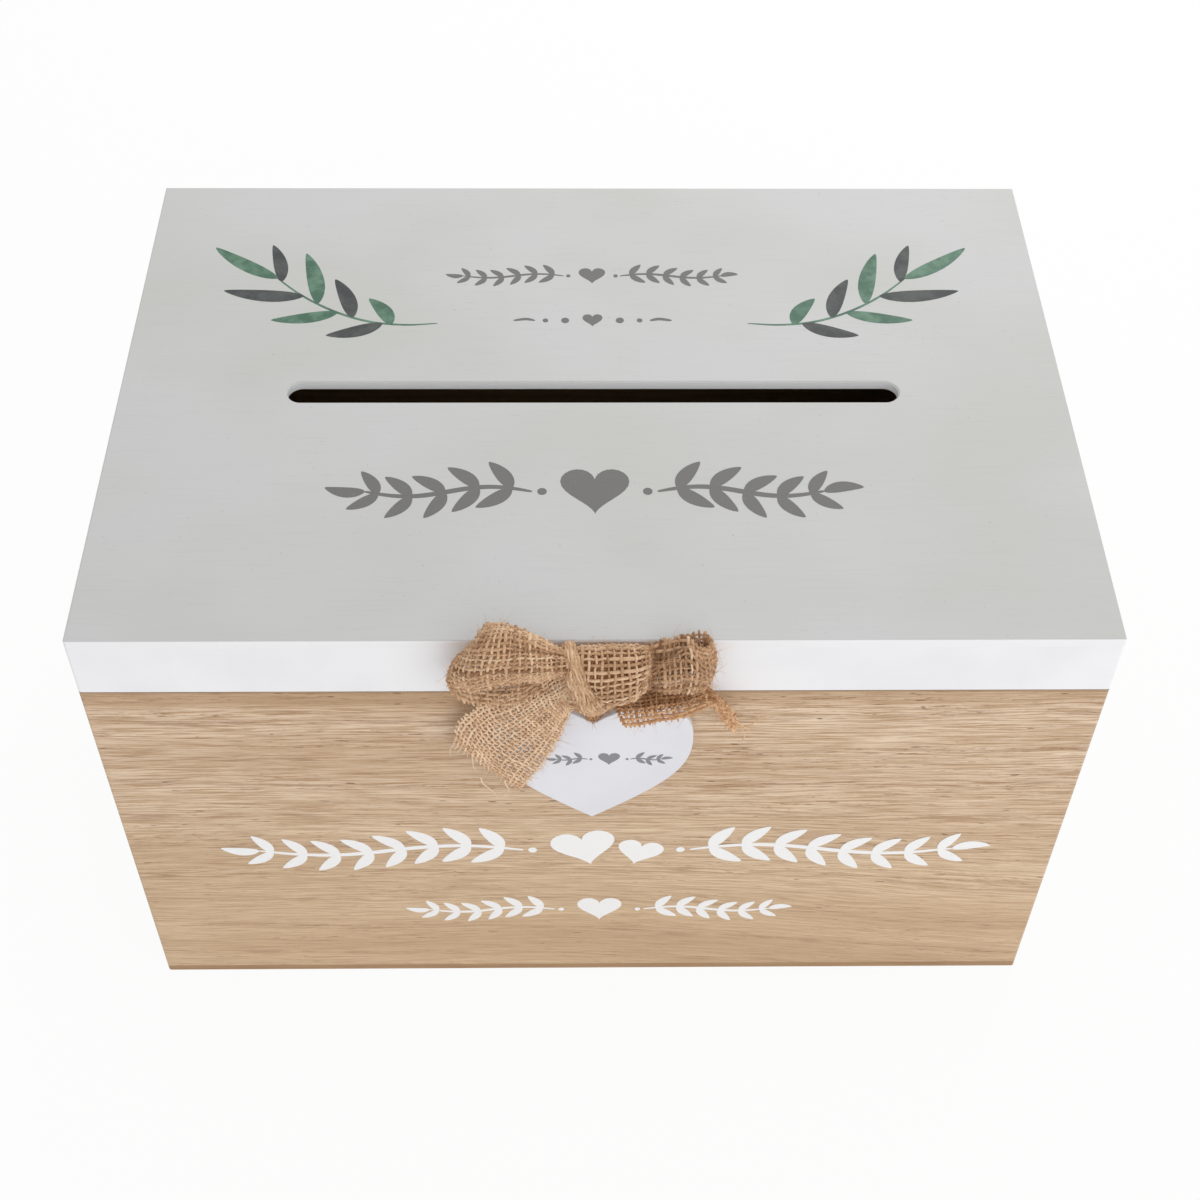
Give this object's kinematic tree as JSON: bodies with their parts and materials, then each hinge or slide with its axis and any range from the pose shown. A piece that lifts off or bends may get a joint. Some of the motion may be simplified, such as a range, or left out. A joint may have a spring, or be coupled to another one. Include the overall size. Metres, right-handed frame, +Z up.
{
  "type": "wedding card box",
  "caption": "Wooden box with a hinged painted lid, a long card slot, a hessian bow and a heart tag hanging on its front.",
  "frame": {"origin": "centre of the base board's underside, on the table", "axes": "+X to the right along the width, +Y to the back, +Z up; the front with the bow faces -Y"},
  "size_m": [0.3, 0.2321, 0.1969],
  "materials": {
    "veneered_wood": "satin veneer, horizontal grain",
    "base_edge_wood": "sawn board edge, satin",
    "painted_top": "matt pale grey-white paint over grain",
    "painted_rim": "smooth satin white paint",
    "aged_brass": "aged, satin",
    "screw_brass": "aged, satin",
    "nail_steel": "bright wire",
    "hessian": "open plain weave of jute yarn",
    "painted_heart": "smooth matt white paint"
  },
  "bodies": {
    "box": {"base_board": "base_edge_wood", "base_nails": "nail_steel", "front_panel": "veneered_wood", "back_panel": "veneered_wood", "left_panel": "veneered_wood", "right_panel": "veneered_wood", "hinge_left_body_leaf": "aged_brass", "hinge_left_pin": "aged_brass", "hinge_left_body_screws": "screw_brass", "hinge_right_body_leaf": "aged_brass", "hinge_right_pin": "aged_brass", "hinge_right_body_screws": "screw_brass"},
    "lid": {"lid_top_board": "painted_top", "lid_front_rim": "painted_rim", "lid_back_rim": "painted_rim", "lid_left_rim": "painted_rim", "lid_right_rim": "painted_rim", "hinge_left_lid_leaf": "aged_brass", "hinge_left_lid_screws": "screw_brass", "hinge_right_lid_leaf": "aged_brass", "hinge_right_lid_screws": "screw_brass", "bow_knot": "hessian", "bow_left_loop": "hessian", "bow_right_loop": "hessian", "bow_right_tail": "hessian"},
    "heart": {"heart_hanger": "hessian", "heart_tag": "painted_heart"},
    "left_tail": {"bow_left_tail": "hessian"}
  },
  "joints": [
    {"name": "lid_hinge", "type": "hinge", "parent": "box", "child": "lid", "pos_m": [0, 0.10715, 0.15735], "axis": [-1, 0, 0], "range_deg": [0, 180]},
    {"name": "heart_lift", "type": "hinge", "parent": "lid", "child": "heart", "pos_m": [-0.0009, -0.1058, 0.157], "axis": [-1, 0, 0], "range_deg": [0, 60]},
    {"name": "left_tail_lift", "type": "hinge", "parent": "lid", "child": "left_tail", "pos_m": [-0.02, -0.112, 0.1615], "axis": [-1, 0, 0], "range_deg": [0, 60]}
  ],
  "couplings": [
    {"joint": "left_tail_lift", "follows": "heart_lift", "ratio": 1}
  ]
}
